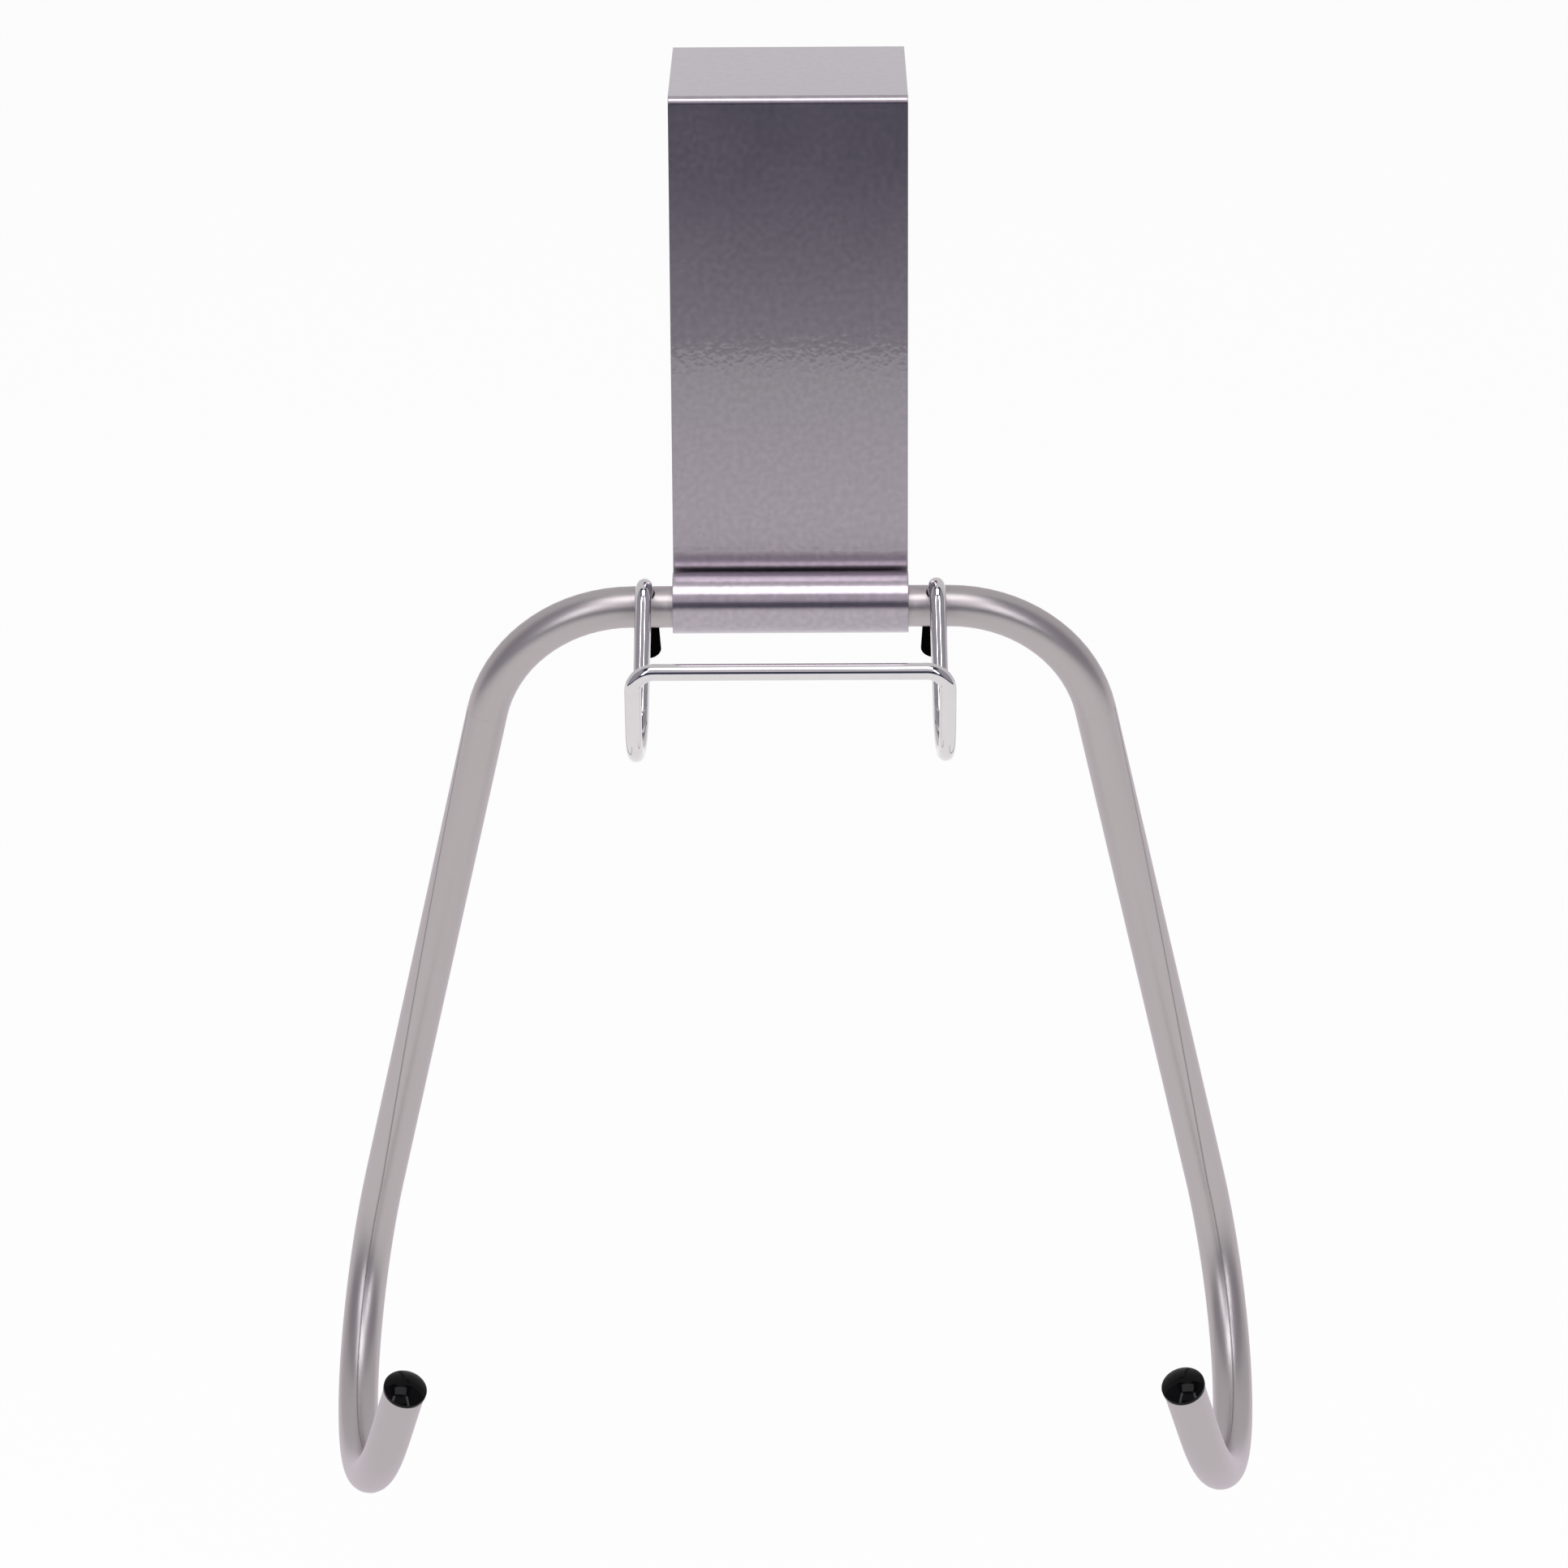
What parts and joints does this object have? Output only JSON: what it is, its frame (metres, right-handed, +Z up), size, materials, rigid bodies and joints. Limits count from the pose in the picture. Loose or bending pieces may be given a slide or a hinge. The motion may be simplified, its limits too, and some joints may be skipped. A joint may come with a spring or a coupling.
{
  "type": "over-door hanger",
  "caption": "Over-door hanger: a folded steel strap carries a swinging bent-tube frame with upturned J hooks, a chrome wire hook and rubber-tipped door bumpers.",
  "frame": {"origin": "centre of the underside of the strap's top, which rests on a door's top edge", "axes": "+X to the viewer's right, +Y from the front plate to the back lip, +Z up"},
  "size_m": [0.2086, 0.1217, 0.3109],
  "materials": {
    "strap_paint": "satin silver paint",
    "tube_paint": "satin silver paint",
    "wire_chrome": "polished",
    "plug_plastic": "gloss",
    "cap_rubber": "semi-matte"
  },
  "bodies": {
    "strap_body": {"strap": "strap_paint"},
    "frame_body": {"tube_frame": "tube_paint", "plug_left": "plug_plastic", "plug_right": "plug_plastic", "wire_hook": "wire_chrome", "cap_left": "cap_rubber", "cap_right": "cap_rubber"}
  },
  "joints": [
    {"name": "frame_swing", "type": "hinge", "parent": "strap_body", "child": "frame_body", "pos_m": [0, -0.0337, -0.1099], "axis": [-1, 0, 0], "range_deg": [-252, 99.5]}
  ]
}
